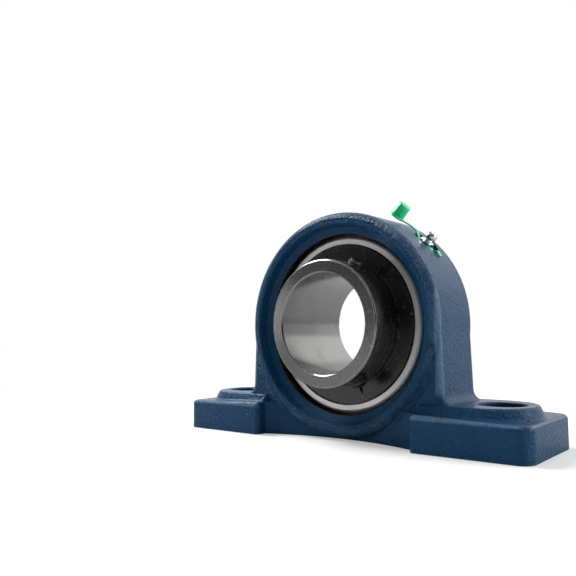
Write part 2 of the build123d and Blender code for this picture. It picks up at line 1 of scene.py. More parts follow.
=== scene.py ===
# %% [markdown]
# # A pillow block bearing: finishes, light and camera
# The block is a sand casting under blue enamel. In its spherical seat sits a ball bearing
# insert, bright where it is ground and black where it is sealed. The shapes come from the
# imported CAD model, which is loaded first and never changed. What this lesson adds is what
# CAD leaves out: threads, the strap of the cap, surface finish, light and a camera.

import math

import bmesh
import bpy
from mathutils import Matrix, Vector


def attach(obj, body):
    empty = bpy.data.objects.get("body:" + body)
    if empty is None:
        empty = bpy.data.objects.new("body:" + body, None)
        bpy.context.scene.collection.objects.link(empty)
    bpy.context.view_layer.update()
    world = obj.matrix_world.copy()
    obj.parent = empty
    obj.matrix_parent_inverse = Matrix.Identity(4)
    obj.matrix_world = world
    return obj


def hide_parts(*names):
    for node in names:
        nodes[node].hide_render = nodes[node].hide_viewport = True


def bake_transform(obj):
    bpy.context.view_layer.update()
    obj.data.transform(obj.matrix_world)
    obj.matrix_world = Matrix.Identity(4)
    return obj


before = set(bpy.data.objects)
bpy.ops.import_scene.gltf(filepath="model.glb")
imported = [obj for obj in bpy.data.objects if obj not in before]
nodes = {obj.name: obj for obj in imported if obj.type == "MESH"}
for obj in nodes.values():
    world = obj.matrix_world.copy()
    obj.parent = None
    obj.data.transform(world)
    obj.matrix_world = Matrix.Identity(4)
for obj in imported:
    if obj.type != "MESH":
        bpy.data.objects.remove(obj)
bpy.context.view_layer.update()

# %% [markdown]
# ## Directions on the bearing
# Everything in a bearing is measured from the shaft: a distance from its axis, an angle
# round it, and a distance along it. One helper turns an angle into a direction, so that
# screws and nipple are placed by the same numbers a machinist would use. Sizes are metres.

# %% The shaft's axis and a radial direction
SHAFT_HEIGHT = 0.0635
shaft_centre = Vector((0, 0, SHAFT_HEIGHT))
along_shaft = Vector((0, 1, 0))


def radial(degrees):
    """Direction that leaves the shaft's axis at this angle above +X."""
    angle = math.radians(degrees)
    return Vector((math.cos(angle), 0, math.sin(angle)))


print("straight up:", [round(value, 3) for value in radial(90)])

# %% [markdown]
# ## Camera
# The camera stands low, to the right of the front, and looks slightly up, so the tops of
# the feet are seen almost edge on. It is placed by its azimuth and elevation round a point
# near the object, and rolled by half a degree. Its matrix is put together from three axes,
# which avoids guessing at Euler angles.

# %% Camera
CAMERA_AZIMUTH = 38.0
CAMERA_ELEVATION = -4.0
CAMERA_ROLL = 0.53
CAMERA_DISTANCE = 0.3867
CAMERA_LENS = 39.67
CAMERA_SHIFT = (-0.0441, 0.0052)
SENSOR_WIDTH = 36
camera_target = Vector((-0.0311, 0, 0.0842))

azimuth = math.radians(CAMERA_AZIMUTH)
elevation = math.radians(CAMERA_ELEVATION)
roll = math.radians(CAMERA_ROLL)
backward = Vector((
    math.sin(azimuth) * math.cos(elevation),
    -math.cos(azimuth) * math.cos(elevation),
    math.sin(elevation),
))
rightward = Vector((math.cos(azimuth), math.sin(azimuth), 0))
upward = backward.cross(rightward)
rolled_right = rightward * math.cos(roll) - upward * math.sin(roll)
rolled_up = rightward * math.sin(roll) + upward * math.cos(roll)

camera_data = bpy.data.cameras.new("camera")
camera = bpy.data.objects.new("camera", camera_data)
bpy.context.scene.collection.objects.link(camera)
turn = Matrix((rolled_right, rolled_up, backward)).transposed().to_4x4()
camera.matrix_world = Matrix.Translation(camera_target + backward * CAMERA_DISTANCE) @ turn
camera_data.sensor_width = SENSOR_WIDTH
camera_data.lens = CAMERA_LENS
camera_data.shift_x, camera_data.shift_y = CAMERA_SHIFT
camera_data.clip_start = 0.01
bpy.context.scene.camera = camera
bpy.context.scene.view_settings.view_transform = "Standard"
print("camera at", [round(value, 4) for value in camera.matrix_world.translation])

# %% [markdown]
# ## Helpers for node trees
# A material is a graph. Short helpers keep it readable: one makes a node and fills its
# sockets, with numbers or with links, a few do arithmetic, and one turns a range of values
# into a mask from 0 to 1.

# %% Node helpers
def node(tree, kind, inputs=None, **settings):
    """Make a shader node. An input may be a number, a colour or another node's output."""
    made = tree.nodes.new("ShaderNode" + kind)
    for name, value in settings.items():
        setattr(made, name, value)
    for name, value in (inputs or {}).items():
        if isinstance(value, bpy.types.NodeSocket):
            tree.links.new(value, made.inputs[name])
        else:
            made.inputs[name].default_value = value
    return made


def calculate(tree, operation, first, second=0.0, clamp=False):
    """Output of a Math node."""
    made = node(tree, "Math", {0: first, 1: second}, operation=operation, use_clamp=clamp)
    return made.outputs[0]


def multiply(tree, first, *others):
    """Product of values or masks. For masks, it is 1 only where all of them are."""
    for other in others:
        first = calculate(tree, "MULTIPLY", first, other)
    return first


def multiply_add(tree, value, factor, added):
    """A value times a factor, with something added."""
    made = node(tree, "Math", {0: value, 1: factor, 2: added}, operation="MULTIPLY_ADD")
    return made.outputs[0]


def mask_between(tree, value, low, high):
    """0 below low and 1 above high; low may be the larger one, which turns it round."""
    made = node(tree, "MapRange", {"Value": value, "From Min": low, "From Max": high})
    made.interpolation_type = "SMOOTHSTEP"
    return made.outputs["Result"]


def blend_colours(tree, mask, first, second):
    """First colour where the mask is 0, second where it is 1."""
    made = node(tree, "Mix", {0: mask, 6: first, 7: second}, data_type="RGBA")
    return made.outputs[2]


def noise(tree, place, scale, detail=2.0, roughness=0.5):
    """Value of a Noise texture, about 0.5 on average."""
    inputs = {"Vector": place, "Scale": scale, "Detail": detail, "Roughness": roughness}
    return node(tree, "TexNoise", inputs).outputs[0]


print("node helpers ready")

# %% A helper for node groups
def start_group(name, inputs, outputs):
    """A shader node group with named sockets, and its input and output nodes."""
    tree = bpy.data.node_groups.new(name, "ShaderNodeTree")
    for label, value in inputs.items():
        socket = tree.interface.new_socket(label, in_out="INPUT", socket_type="NodeSocketFloat")
        socket.default_value = value
    for label in outputs:
        tree.interface.new_socket(label, in_out="OUTPUT", socket_type="NodeSocketFloat")
    entry = tree.nodes.new("NodeGroupInput")
    leaving = tree.nodes.new("NodeGroupOutput")
    return tree, entry.outputs, leaving.inputs


def use_group(tree, name, **inputs):
    """Place a node group in a material and return its outputs."""
    made = tree.nodes.new("ShaderNodeGroup")
    made.node_tree = bpy.data.node_groups[name]
    for label, value in inputs.items():
        socket = made.inputs[label.replace("_", " ").capitalize()]
        if isinstance(value, bpy.types.NodeSocket):
            tree.links.new(value, socket)
        else:
            socket.default_value = value
    return made.outputs


print("group helpers ready")

# %% [markdown]
# ## Where a point lies on the bearing
# Turning marks run round the shaft, and paint stops where the seat was machined. Both need
# the distance from the shaft's axis, which the built-in textures don't give. This group
# works it out from object coordinates, which are metres in the model's own frame.

# %% Group: distances from the shaft
tree, given, result = start_group("shaft distances", {}, ("Radius", "Angle", "Along"))
place = node(tree, "TexCoord").outputs["Object"]
parts = node(tree, "SeparateXYZ", {0: place}).outputs
rise = calculate(tree, "SUBTRACT", parts["Z"], SHAFT_HEIGHT)
flat = node(tree, "CombineXYZ", {0: parts["X"], 1: rise}).outputs[0]
length = node(tree, "VectorMath", {0: flat}, operation="LENGTH").outputs["Value"]
tree.links.new(length, result["Radius"])
tree.links.new(calculate(tree, "ARCTAN2", rise, parts["X"]), result["Angle"])
tree.links.new(parts["Y"], result["Along"])
print("group:", tree.name)

# %% [markdown]
# ## The skin of a sand casting
# Sand leaves two kinds of roughness: low swells a few millimetres across, and grains that
# the enamel rounds over. Two noises of different scale are added for the height. Pits,
# where grains broke out, come from a Voronoi texture whose cells are thinned by a noise.

# %% Group: cast skin
GRAIN_SHARE = 0.5

tree, given, result = start_group(
    "cast skin", {"Swell": 1.0, "Grain": 1.0, "Pitting": 0.5}, ("Height", "Mottle")
)
place = node(tree, "TexCoord").outputs["Object"]
swell = noise(tree, place, scale=130, detail=2.0, roughness=0.5)
grain = noise(tree, place, scale=620, detail=3.0, roughness=0.6)
swell_height = multiply(tree, swell, given["Swell"])
grain_height = multiply(tree, grain, given["Grain"], GRAIN_SHARE)
skin_height = calculate(tree, "ADD", swell_height, grain_height)

cells = node(tree, "TexVoronoi", {"Vector": place, "Scale": 420, "Randomness": 1.0})
dots = mask_between(tree, cells.outputs["Distance"], low=0.42, high=0.16)
clusters = noise(tree, place, scale=210, detail=2.0, roughness=0.7)
thinned = mask_between(tree, clusters, low=0.56, high=0.66)
pits = multiply(tree, dots, thinned, given["Pitting"])

mottle = noise(tree, place, scale=55, detail=4.0, roughness=0.65)
tree.links.new(calculate(tree, "SUBTRACT", skin_height, pits), result["Height"])
tree.links.new(mottle, result["Mottle"])
print("group:", tree.name)

# %% [markdown]
# ## Specks
# Rust, grit and paint chips are small islands of uneven size that come in clusters. A fine
# noise is cut at a high level, which leaves islands, and a coarse noise decides where they
# may appear at all. A larger Amount lowers the cut, so that more islands are left.

# %% Group: specks
SPECK_SCALE = 900.0
COARSE_SHARE = 0.55
SPECK_EDGE = 0.035

tree, given, result = start_group("specks", {"Size": 1.0, "Amount": 0.5}, ("Mask",))
place = node(tree, "TexCoord").outputs["Object"]
fine_scale = calculate(tree, "DIVIDE", SPECK_SCALE, given["Size"])
fine = noise(tree, place, fine_scale, detail=3.0, roughness=0.62)
coarse = noise(tree, place, scale=95, detail=2.0, roughness=0.6)
both = calculate(tree, "ADD", fine, multiply(tree, coarse, COARSE_SHARE))
cut = multiply_add(tree, given["Amount"], factor=-0.32, added=1.1)
above = calculate(tree, "SUBTRACT", both, cut)
tree.links.new(mask_between(tree, above, 0.0, SPECK_EDGE), result["Mask"])
print("group:", tree.name)

# %% [markdown]
# ## Turning marks
# A turned or ground face keeps fine concentric lines. They are made from a noise that is
# read along radius and shaft only, so that it is drawn out round the axis. A second noise
# is read along the angle too, but so slowly that its lines only waver a little, which
# gives the uneven sheen of a real face.

# %% Group: turning marks
LINE_SCALE = 5200.0
METRES_PER_RADIAN = 0.0002

tree, given, result = start_group("turning marks", {"Fineness": 1.0}, ("Height", "Sheen"))
where = use_group(tree, "shaft distances")
lines_at = node(tree, "CombineXYZ", {0: where["Radius"], 1: where["Along"]}).outputs[0]
line_scale = multiply(tree, given["Fineness"], LINE_SCALE)
lines = noise(tree, lines_at, line_scale, detail=3.0, roughness=0.7)
slow_angle = multiply(tree, where["Angle"], METRES_PER_RADIAN)
sheen_at = node(tree, "CombineXYZ", {0: where["Radius"], 1: where["Along"], 2: slow_angle})
sheen = noise(tree, sheen_at.outputs[0], scale=3400, detail=4.0, roughness=0.7)
tree.links.new(lines, result["Height"])
tree.links.new(sheen, result["Sheen"])
print("group:", tree.name)

# %% [markdown]
# ## Worn edges
# Handling rubs a finish off its sharp edges first. The Bevel node gives the normal that a
# rounded edge would have. Where it differs from the true normal there is an edge, and a
# noise makes the rubbed line uneven.

# %% Group: worn edges
RUBBED_LEVEL = 0.62
MISSED_CONTRAST = 4.0

tree, given, result = start_group("worn edges", {"Width": 0.0004, "Unevenness": 0.5}, ("Mask",))
bevelled_normal = node(tree, "Bevel", {"Radius": given["Width"]}, samples=4).outputs[0]
true_normal = node(tree, "NewGeometry").outputs["Normal"]
agreement = node(
    tree, "VectorMath", {0: bevelled_normal, 1: true_normal}, operation="DOT_PRODUCT"
)
edge = mask_between(tree, agreement.outputs["Value"], low=0.995, high=0.93)
place = node(tree, "TexCoord").outputs["Object"]
rubbed = noise(tree, place, scale=380, detail=3.0, roughness=0.6)
missed = calculate(tree, "SUBTRACT", RUBBED_LEVEL, rubbed)
missed = multiply(tree, given["Unevenness"], missed, MISSED_CONTRAST)
tree.links.new(calculate(tree, "SUBTRACT", edge, missed, clamp=True), result["Mask"])
print("group:", tree.name)

# %% [markdown]
# ## Handling marks
# An oily finger leaves broad dull patches, and sliding over a bench leaves thin scratches.
# The patches come from a soft noise. The scratches are two Wave textures, bent by noise and
# cut to their thin crests, at different angles.

# %% Group: handling marks
tree, given, result = start_group("handling marks", {"Scratches": 0.5}, ("Smudge", "Scratch"))
place = node(tree, "TexCoord").outputs["Object"]
bent = node(tree, "Mapping", {"Vector": place, "Rotation": (0.4, 0.7, 1.1)}).outputs[0]
first = node(tree, "TexWave", {"Vector": bent, "Scale": 60, "Distortion": 9, "Detail": 2})
second = node(tree, "TexWave", {"Vector": place, "Scale": 45, "Distortion": 12, "Detail": 2})
crest = mask_between(tree, first.outputs["Fac"], low=0.985, high=1.0)
other_crest = mask_between(tree, second.outputs["Fac"], low=0.988, high=1.0)
crests = calculate(tree, "MAXIMUM", crest, other_crest)
stretches = noise(tree, place, scale=160, detail=2.0, roughness=0.6)
broken = mask_between(tree, stretches, low=0.55, high=0.62)
scratch = multiply(tree, crests, broken, given["Scratches"])
smudge = noise(tree, place, scale=70, detail=3.0, roughness=0.55)
tree.links.new(scratch, result["Scratch"])
tree.links.new(smudge, result["Smudge"])
print("group:", tree.name)

# %% [markdown]
# ## Materials
# Each material starts the same way: a Principled BSDF on an output, and the numbers that
# are the same all over the surface set straight on its sockets. Colour, roughness and bump
# are linked in afterwards, because they change from place to place.

# %% Start of a material
def start_material(name, **constants):
    """A material with a Principled BSDF whose even values are set on its own sockets."""
    material = bpy.data.materials.new(name)
    material.use_nodes = True
    tree = material.node_tree
    tree.nodes.clear()
    shader = node(tree, "BsdfPrincipled")
    for label, value in constants.items():
        shader.inputs[label.replace("_", " ").title().replace("Ior", "IOR")].default_value = value
    leaving = node(tree, "OutputMaterial")
    tree.links.new(shader.outputs[0], leaving.inputs["Surface"])
    return material, tree, shader.inputs


def add_bump(tree, sockets, height, strength, distance):
    """Feed a height to the shader's normal; distance is in metres."""
    bump = node(tree, "Bump", {"Height": height, "Strength": strength, "Distance": distance})
    tree.links.new(bump.outputs[0], sockets["Normal"])


print("material helpers ready")

# %% [markdown]
# ## Blue enamel over cast iron
# The block is dipped or sprayed in thick blue enamel. It is glossy, but the casting's skin
# shows through it, most of all along the ridge round the bearing, where the light catches
# broken pits; a broken pale line along the ridge's crest is paint rubbed thin and a painted
# highlight. Paint is rubbed thin on the feet's top edges and the block's corners, with brown
# iron in the chips, and the paler colour of those edges is partly a painted highlight. The
# spherical seat is machined after painting, so it is bare, and its steel is darkened as
# painted shade of the gap round the ring.

# %% Where the enamel ends, where it is worn and where highlights are painted
# Each mask rises from 0 to 1 between two sizes. Where it falls, the larger comes first.
SEAT_RADIUS = (0.0509, 0.0508)
SEAT_DEPTH = (0.0145, 0.0144)
RIDGE_INNER_RADIUS = (0.0572, 0.0588)
RIDGE_OUTER_RADIUS = (0.0645, 0.0630)
RIDGE_DEPTH = (0.0160, 0.0182)
FOOT_TOP = (0.0152, 0.0164)
FOOT_SIDE = (0.0282, 0.0292)
FOOT_END = (0.1078, 0.1088)
CORNER_WIDTH = (0.0592, 0.0607)
CORNER_DEPTH = (0.0155, 0.0172)
CORNER_HEIGHT = (0.026, 0.029)

paint, tree, enamel = start_material(
    "blue enamel", Coat_Roughness=0.14, Coat_IOR=1.5, Specular_IOR_Level=0.1
)
radius = use_group(tree, "shaft distances")["Radius"]
place = node(tree, "TexCoord").outputs["Object"]
block = node(tree, "SeparateXYZ", {0: place}).outputs
across = calculate(tree, "ABSOLUTE", block["X"])
depth = calculate(tree, "ABSOLUTE", block["Y"])

machined = multiply(
    tree,
    mask_between(tree, radius, *SEAT_RADIUS),
    mask_between(tree, depth, *SEAT_DEPTH),
)
on_ridge = multiply(
    tree,
    mask_between(tree, radius, *RIDGE_INNER_RADIUS),
    mask_between(tree, depth, *RIDGE_DEPTH),
    mask_between(tree, radius, *RIDGE_OUTER_RADIUS),
)
foot_side = mask_between(tree, depth, *FOOT_SIDE)
foot_end = mask_between(tree, across, *FOOT_END)
on_foot_edge = multiply(
    tree,
    mask_between(tree, block["Z"], *FOOT_TOP),
    calculate(tree, "MAXIMUM", foot_side, foot_end),
)
on_corner = multiply(
    tree,
    mask_between(tree, across, *CORNER_WIDTH),
    mask_between(tree, depth, *CORNER_DEPTH),
    mask_between(tree, block["Z"], *CORNER_HEIGHT),
)
edges = calculate(tree, "MAXIMUM", on_foot_edge, on_corner)
print("masks for the enamel:", len(tree.nodes), "nodes")

# %% Colour of the enamel
DEEP_BLUE = (0.0035, 0.045, 0.112, 1)
PALE_BLUE = (0.0060, 0.059, 0.148, 1)
# Paler thin paint on the worn edges and the ridge's crest: partly real wear, partly a painted
# highlight.
THIN_PAINT_AND_HIGHLIGHT = (0.075, 0.155, 0.245, 1)
CHIPPED_IRON = (0.16, 0.115, 0.075, 1)
RUST = (0.10, 0.055, 0.026, 1)
# The bare seat's steel is darkened as painted shade of the narrow gap round the ring.
DEEP_SHADED_SEAT = (0.030, 0.030, 0.030, 1)
PALE_SHADED_SEAT = (0.065, 0.063, 0.060, 1)
CREST_WEAR_AND_HIGHLIGHT = 0.4

skin = use_group(tree, "cast skin", swell=0.3, grain=3.0, pitting=0.6)
worn_here = use_group(tree, "specks", size=1.6, amount=0.45)["Mask"]
rust_here = use_group(tree, "specks", size=0.8, amount=0.05)["Mask"]
turned = use_group(tree, "turning marks", fineness=0.5)
chips = multiply(tree, edges, worn_here)
broken = mask_between(tree, skin["Mottle"], low=0.44, high=0.60)
# painted highlight: a broken pale line along the ridge's crest, where paint is also rubbed thin
crest = multiply(tree, on_ridge, broken, CREST_WEAR_AND_HIGHLIGHT)
thin_and_highlit = calculate(tree, "MAXIMUM", edges, crest)

blue = blend_colours(tree, skin["Mottle"], DEEP_BLUE, PALE_BLUE)
# thin paint and painted highlight on the edges and the crest
thin_and_highlit_paint = blend_colours(tree, thin_and_highlit, blue, THIN_PAINT_AND_HIGHLIGHT)
chipped = blend_colours(tree, chips, thin_and_highlit_paint, CHIPPED_IRON)
rusty = blend_colours(tree, rust_here, chipped, RUST)
# bare seat steel, darkened as painted shade
bare = blend_colours(tree, turned["Sheen"], DEEP_SHADED_SEAT, PALE_SHADED_SEAT)
tree.links.new(blend_colours(tree, machined, rusty, bare), enamel["Base Color"])
tree.links.new(machined, enamel["Metallic"])
print("enamel coloured:", len(tree.nodes), "nodes")

# %% Gloss and relief of the enamel
COAT = 0.1
CHIP_ROUGHNESS = 0.3
CHIP_DEPTH = 0.5

gloss = multiply_add(tree, skin["Mottle"], factor=0.14, added=0.17)
rough = calculate(tree, "ADD", gloss, multiply(tree, chips, CHIP_ROUGHNESS), clamp=True)
tree.links.new(rough, enamel["Roughness"])
coat = calculate(tree, "SUBTRACT", COAT, calculate(tree, "ADD", chips, machined), clamp=True)
tree.links.new(coat, enamel["Coat Weight"])

ridge_height = multiply_add(tree, on_ridge, factor=1.4, added=1.0)
relief = multiply(tree, skin["Height"], ridge_height)
relief = calculate(tree, "SUBTRACT", relief, multiply(tree, chips, CHIP_DEPTH))
add_bump(tree, enamel, relief, strength=1.0, distance=0.0008)
print("enamel:", len(tree.nodes), "nodes")

# %% [markdown]
# ## Ground bearing steel
# The rings are turned, hardened and ground. A face with concentric marks doesn't mirror
# evenly: its highlight is drawn out across the marks, which gives the bright and dark
# sectors seen on every lathe-turned disc. The Principled BSDF does that with anisotropy,
# told by a radial Tangent node which way the marks run.

# %% Ring steel
RUBBED_STEEL = (0.52, 0.52, 0.51, 1)
RUBBED_ROUGHNESS = 0.32
ACROSS_THE_MARKS = 0.25
OIL_TINT = (1.0, 0.96, 0.9)


def ring_steel(name, dark, light, roughness, anisotropy):
    """Turned and ground steel whose marks run round the shaft."""
    material, tree, ground = start_material(
        name, Metallic=1.0, Anisotropic=anisotropy, Anisotropic_Rotation=ACROSS_THE_MARKS
    )
    turned = use_group(tree, "turning marks", fineness=1.0)
    marks = use_group(tree, "handling marks", scratches=0.12)
    worn = use_group(tree, "worn edges", width=0.0005, unevenness=0.3)["Mask"]

    clean = blend_colours(tree, turned["Sheen"], dark, light)
    oil = mask_between(tree, marks["Smudge"], low=0.55, high=0.8)
    browned = tuple(part * share for part, share in zip(dark, OIL_TINT)) + (1,)
    oiled = blend_colours(tree, oil, clean, browned)
    tree.links.new(blend_colours(tree, worn, oiled, RUBBED_STEEL), ground["Base Color"])

    gloss = multiply_add(tree, turned["Sheen"], factor=0.12, added=roughness)
    rubbed = calculate(tree, "MAXIMUM", marks["Scratch"], worn)
    rubbed = multiply(tree, rubbed, RUBBED_ROUGHNESS)
    tree.links.new(calculate(tree, "ADD", gloss, rubbed), ground["Roughness"])
    tangent = node(tree, "Tangent", direction_type="RADIAL", axis="Y")
    tree.links.new(tangent.outputs[0], ground["Tangent"])
    add_bump(tree, ground, turned["Height"], strength=0.15, distance=0.00001)
    print(name + ":", len(tree.nodes), "nodes")
    return material


# One bearing steel in two copies: the inner ring's grey is darkened as painted shade, the outer
# ring's is paler as painted light.
shaded_inner_ring_steel = ring_steel(
    "shaded inner ring steel", dark=(0.17, 0.169, 0.166, 1), light=(0.24, 0.238, 0.234, 1),
    roughness=0.2, anisotropy=0.7,
)
lit_outer_ring_steel = ring_steel(
    "lit outer ring steel", dark=(0.62, 0.62, 0.61, 1), light=(0.74, 0.74, 0.73, 1),
    roughness=0.44, anisotropy=0.3,
)

# %% [markdown]
# ## Plain steels
# Balls are lapped to a mirror. The pin, the pressed cage and the spring are duller, each
# with its own grey and its own grain. They share one recipe with different numbers.

# %% Balls, pin, cage and spring
def plain_steel(name, dark, light, roughness, grain_scale, relief):
    """A metal whose grey and gloss vary with one noise."""
    material, tree, metal = start_material(name, Metallic=1.0)
    place = node(tree, "TexCoord").outputs["Object"]
    grain = noise(tree, place, grain_scale, detail=4.0, roughness=0.6)
    tree.links.new(blend_colours(tree, grain, dark, light), metal["Base Color"])
    gloss = multiply_add(tree, grain, factor=roughness, added=roughness / 2)
    tree.links.new(gloss, metal["Roughness"])
    add_bump(tree, metal, grain, strength=0.3, distance=relief)
    print(name + ":", len(tree.nodes), "nodes")
    return material


ball_steel = plain_steel(
    "ball steel", dark=(0.62, 0.62, 0.63, 1), light=(0.70, 0.70, 0.71, 1),
    roughness=0.07, grain_scale=300, relief=0.000002,
)
pin_steel = plain_steel(
    "pin steel", dark=(0.30, 0.30, 0.30, 1), light=(0.46, 0.46, 0.45, 1),
    roughness=0.32, grain_scale=900, relief=0.00001,
)
cage_steel = plain_steel(
    "cage steel", dark=(0.36, 0.36, 0.35, 1), light=(0.52, 0.52, 0.50, 1),
    roughness=0.36, grain_scale=700, relief=0.00002,
)
spring_steel = plain_steel(
    "spring steel", dark=(0.34, 0.34, 0.35, 1), light=(0.48, 0.48, 0.48, 1),
    roughness=0.28, grain_scale=1500, relief=0.00001,
)

# %% [markdown]
# ## Black parts
# The slinger and the seal's case are pressed from sheet and blackened; where the slinger's
# lip rubs in handling, bare steel shows as a thin bright line, partly wear and partly a
# painted highlight along the lip. The seal's lip is nitrile rubber, the set screws have
# black oxide under a film of oil.

# %% Slinger and seal case
SOOT = (0.003, 0.0035, 0.005, 1)
GREY_SOOT = (0.007, 0.008, 0.010, 1)
BARE_SHEET = (0.42, 0.42, 0.41, 1)
OIL_COAT = 0.5


def blackened_sheet(name, scratches, rub_and_glint, roughness):
    """Satin black sheet metal with turning marks and rubbed edges; the rubbed edges are partly a
    painted highlight.
    """
    material, tree, black = start_material(
        name, Specular_IOR_Level=0.4, Coat_Roughness=0.25, Coat_IOR=1.5
    )
    turned = use_group(tree, "turning marks", fineness=0.35)
    marks = use_group(tree, "handling marks", scratches=scratches)
    rubbed = use_group(tree, "worn edges", width=0.00035, unevenness=0.8)["Mask"]
    bare = calculate(tree, "MAXIMUM", multiply(tree, rubbed, rub_and_glint), marks["Scratch"])
    soot = blend_colours(tree, turned["Sheen"], SOOT, GREY_SOOT)
    tree.links.new(blend_colours(tree, bare, soot, BARE_SHEET), black["Base Color"])
    tree.links.new(bare, black["Metallic"])
    gloss = multiply_add(tree, marks["Smudge"], factor=0.14, added=roughness)
    tree.links.new(gloss, black["Roughness"])
    tree.links.new(calculate(tree, "SUBTRACT", OIL_COAT, bare, clamp=True), black["Coat Weight"])
    add_bump(tree, black, turned["Height"], strength=0.3, distance=0.00003)
    print(name + ":", len(tree.nodes), "nodes")
    return material


# The slinger's bright rubbed lip is partly wear and partly a painted highlight.
slinger_black = blackened_sheet("slinger black", scratches=0.06, rub_and_glint=0.6, roughness=0.20)
seal_case_black = blackened_sheet("seal case black", scratches=0.04, rub_and_glint=0.04, roughness=0.30)

# %% Seal rubber
BLACK_RUBBER = (0.006, 0.006, 0.006, 1)
DUSTY_RUBBER = (0.020, 0.020, 0.019, 1)

seal_rubber, tree, rubber = start_material("seal rubber", Specular_IOR_Level=0.4)
skin = use_group(tree, "cast skin", swell=0.5, grain=0.6, pitting=0.2)
dusty = blend_colours(tree, skin["Mottle"], BLACK_RUBBER, DUSTY_RUBBER)
tree.links.new(dusty, rubber["Base Color"])
# a range this wide keeps the roughness near 0.75
tree.links.new(mask_between(tree, skin["Mottle"], low=-0.9, high=1.2), rubber["Roughness"])
add_bump(tree, rubber, skin["Height"], strength=0.3, distance=0.00004)
print("seal rubber:", len(tree.nodes), "nodes")

# %% Black oxide
DEEP_OXIDE = (0.010, 0.010, 0.011, 1)
PALE_OXIDE = (0.030, 0.029, 0.028, 1)
RUBBED_SCREW = (0.40, 0.39, 0.37, 1)
SCREW_WEAR = 0.55
OXIDE_METALLIC = 0.5

black_oxide, tree, oxide = start_material("black oxide", Coat_Weight=0.3, Coat_Roughness=0.15)
worn = use_group(tree, "worn edges", width=0.00022, unevenness=0.6)["Mask"]
worn = multiply(tree, worn, SCREW_WEAR)
skin = use_group(tree, "cast skin", swell=0.4, grain=1.0, pitting=0.0)
oily = blend_colours(tree, skin["Mottle"], DEEP_OXIDE, PALE_OXIDE)
tree.links.new(blend_colours(tree, worn, oily, RUBBED_SCREW), oxide["Base Color"])
tree.links.new(multiply_add(tree, worn, factor=0.5, added=OXIDE_METALLIC), oxide["Metallic"])
# a range this wide keeps the roughness near 0.3
tree.links.new(mask_between(tree, skin["Mottle"], low=-0.4, high=2.0), oxide["Roughness"])
add_bump(tree, oxide, skin["Height"], strength=0.25, distance=0.00003)
print("black oxide:", len(tree.nodes), "nodes")

# %% [markdown]
# ## Zinc and green polyethylene
# The nipple is plated bright, with a faint cloudiness. The cap and its strap are one soft
# polyethylene moulding: a strong green, slightly waxy, with light passing a little way into
# it, which subsurface scattering gives.

# %% Zinc plating
CLOUDED_ZINC = (0.55, 0.56, 0.58, 1)
BRIGHT_ZINC = (0.80, 0.81, 0.82, 1)
RUBBED_ZINC = (0.92, 0.92, 0.92, 1)

zinc_plating, tree, zinc = start_material("zinc plating", Metallic=1.0)
marks = use_group(tree, "handling marks", scratches=0.5)
worn = use_group(tree, "worn edges", width=0.0002, unevenness=0.2)["Mask"]
cloudy = blend_colours(tree, marks["Smudge"], CLOUDED_ZINC, BRIGHT_ZINC)
tree.links.new(blend_colours(tree, worn, cloudy, RUBBED_ZINC), zinc["Base Color"])
gloss = multiply_add(tree, marks["Smudge"], factor=0.2, added=0.16)
tree.links.new(gloss, zinc["Roughness"])
add_bump(tree, zinc, marks["Smudge"], strength=0.05, distance=0.00002)
print("zinc plating:", len(tree.nodes), "nodes")

# %% Green polyethylene
DEEP_GREEN = (0.006, 0.66, 0.22, 1)
PALE_GREEN = (0.014, 0.76, 0.28, 1)
SCUFFED_GREEN = (0.18, 0.78, 0.45, 1)

green_plastic, tree, plastic = start_material(
    "green polyethylene", Subsurface_Weight=0.15, Subsurface_Scale=0.0012, Specular_IOR_Level=0.5
)
marks = use_group(tree, "handling marks", scratches=0.4)
worn = use_group(tree, "worn edges", width=0.0003, unevenness=0.4)["Mask"]
tint = blend_colours(tree, marks["Smudge"], DEEP_GREEN, PALE_GREEN)
tree.links.new(blend_colours(tree, worn, tint, SCUFFED_GREEN), plastic["Base Color"])
gloss = multiply_add(tree, marks["Smudge"], factor=0.25, added=0.22)
tree.links.new(gloss, plastic["Roughness"])
place = node(tree, "TexCoord").outputs["Object"]
waxy = noise(tree, place, scale=900, detail=2.0, roughness=0.5)
add_bump(tree, plastic, waxy, strength=0.25, distance=0.00004)
print("green polyethylene:", len(tree.nodes), "nodes")

# %% [markdown]
# ## Each CAD node gets its finish
# The record names a slot for each node. The CAD meshes stay as they are: only the material
# in their slot is exchanged.

# %% Finishes of the CAD nodes
finishes = {
    "housing": paint,
    "outer_ring": lit_outer_ring_steel,
    "inner_ring": shaded_inner_ring_steel,
    "anti_rotation_pin": pin_steel,
    "cage_front": cage_steel,
    "cage_rear": cage_steel,
    "cage_rivets": cage_steel,
    "seal_case_front": seal_case_black,
    "seal_case_rear": seal_case_black,
    "seal_lip_front": seal_rubber,
    "seal_lip_rear": seal_rubber,
    "slinger_front": slinger_black,
    "slinger_rear": slinger_black,
    "nipple_ball": ball_steel,
    "nipple_spring": spring_steel,
    "grease_nipple": zinc_plating,
    "cap_ring": green_plastic,
    "nipple_cap": green_plastic,
    "set_screw_1": black_oxide,
    "set_screw_2": black_oxide,
}
for number in range(1, 11):
    finishes["ball_%02d" % number] = ball_steel
for name, finish in finishes.items():
    nodes[name].data.materials.clear()
    nodes[name].data.materials.append(finish)
print("finished nodes:", len(finishes), "of", len(nodes))

# %% [markdown]
# ## Turned pieces with flats, threads and sockets
# A set screw, a nipple and a cap are all made round an axis, but not quite: a thread winds,
# and a hexagon has flats. They are lofted from rings of points. Each ring has its own
# radius for every angle, so a circle can turn into a hexagon. Rings that close on
# themselves, or end in a centre point, give a watertight mesh.

# %% Loft round an axis
RING_POINTS = 72


def hexagon_radius(angle, flats):
    """Distance from the centre to a hexagon's edge at this angle."""
    sixth = math.pi / 3
    return flats / 2 / math.cos((angle % sixth) - sixth / 2)


